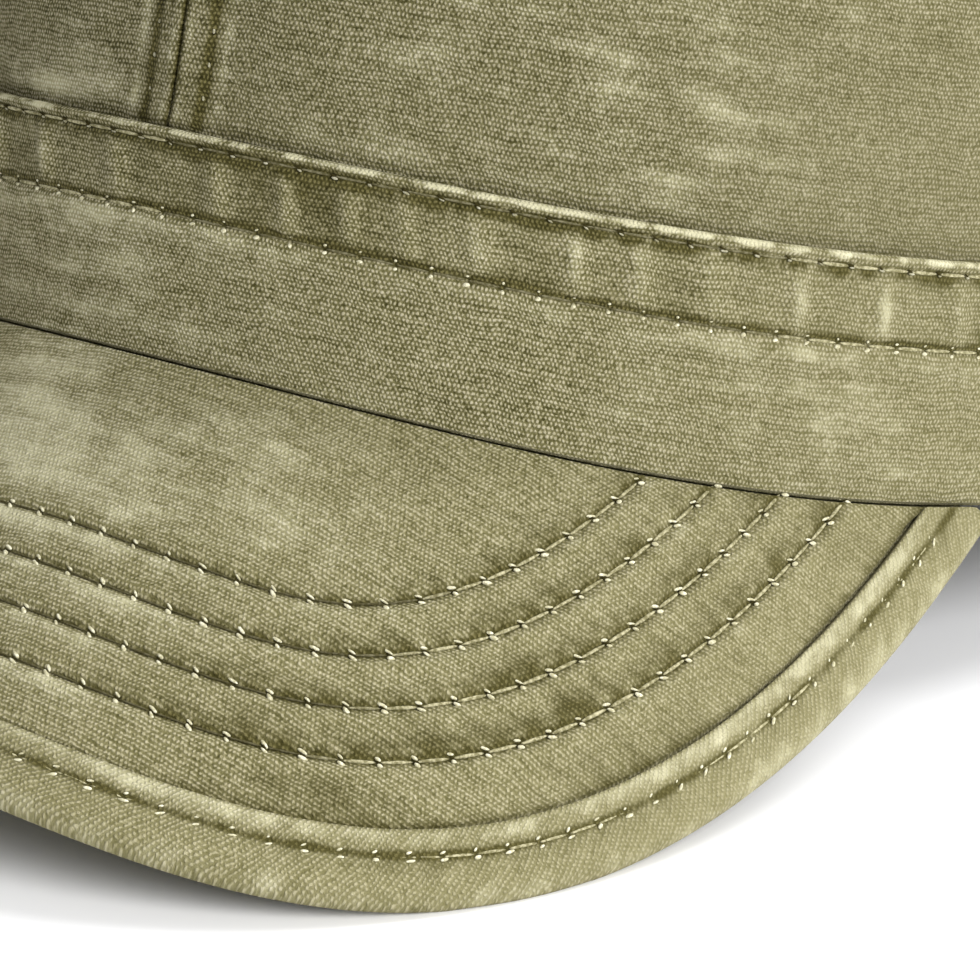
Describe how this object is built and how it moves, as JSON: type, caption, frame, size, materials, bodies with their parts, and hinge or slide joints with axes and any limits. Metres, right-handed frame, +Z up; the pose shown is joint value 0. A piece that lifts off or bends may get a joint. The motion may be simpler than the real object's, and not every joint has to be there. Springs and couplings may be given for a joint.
{
  "type": "military cap",
  "caption": "Soft military cap with a flat top, a wide stitched band and a stiff curved peak with a bound edge, lying at rest.",
  "frame": {"origin": "on the surface that the cap lies on, below the middle of its box", "axes": "+Z up from the surface, -Y towards the front of the peak, +X towards the wearer's left"},
  "size_m": [0.1714, 0.254, 0.1126],
  "materials": {
    "crown_cloth": "washed olive cotton canvas, matt, plain weave, paler where it has rubbed",
    "band_cloth": "washed olive cotton canvas, matt, darker and puckered between the rows of stitches",
    "peak_cloth": "washed olive cotton canvas, matt, topstitched in rows",
    "binding_cloth": "washed olive cotton canvas cut on the bias, matt, paler along its edge"
  },
  "bodies": {
    "root": {"crown_left": "crown_cloth", "crown_right": "crown_cloth", "crown_top": "crown_cloth", "band": "band_cloth", "peak": "peak_cloth", "peak_binding": "binding_cloth"}
  },
  "joints": []
}
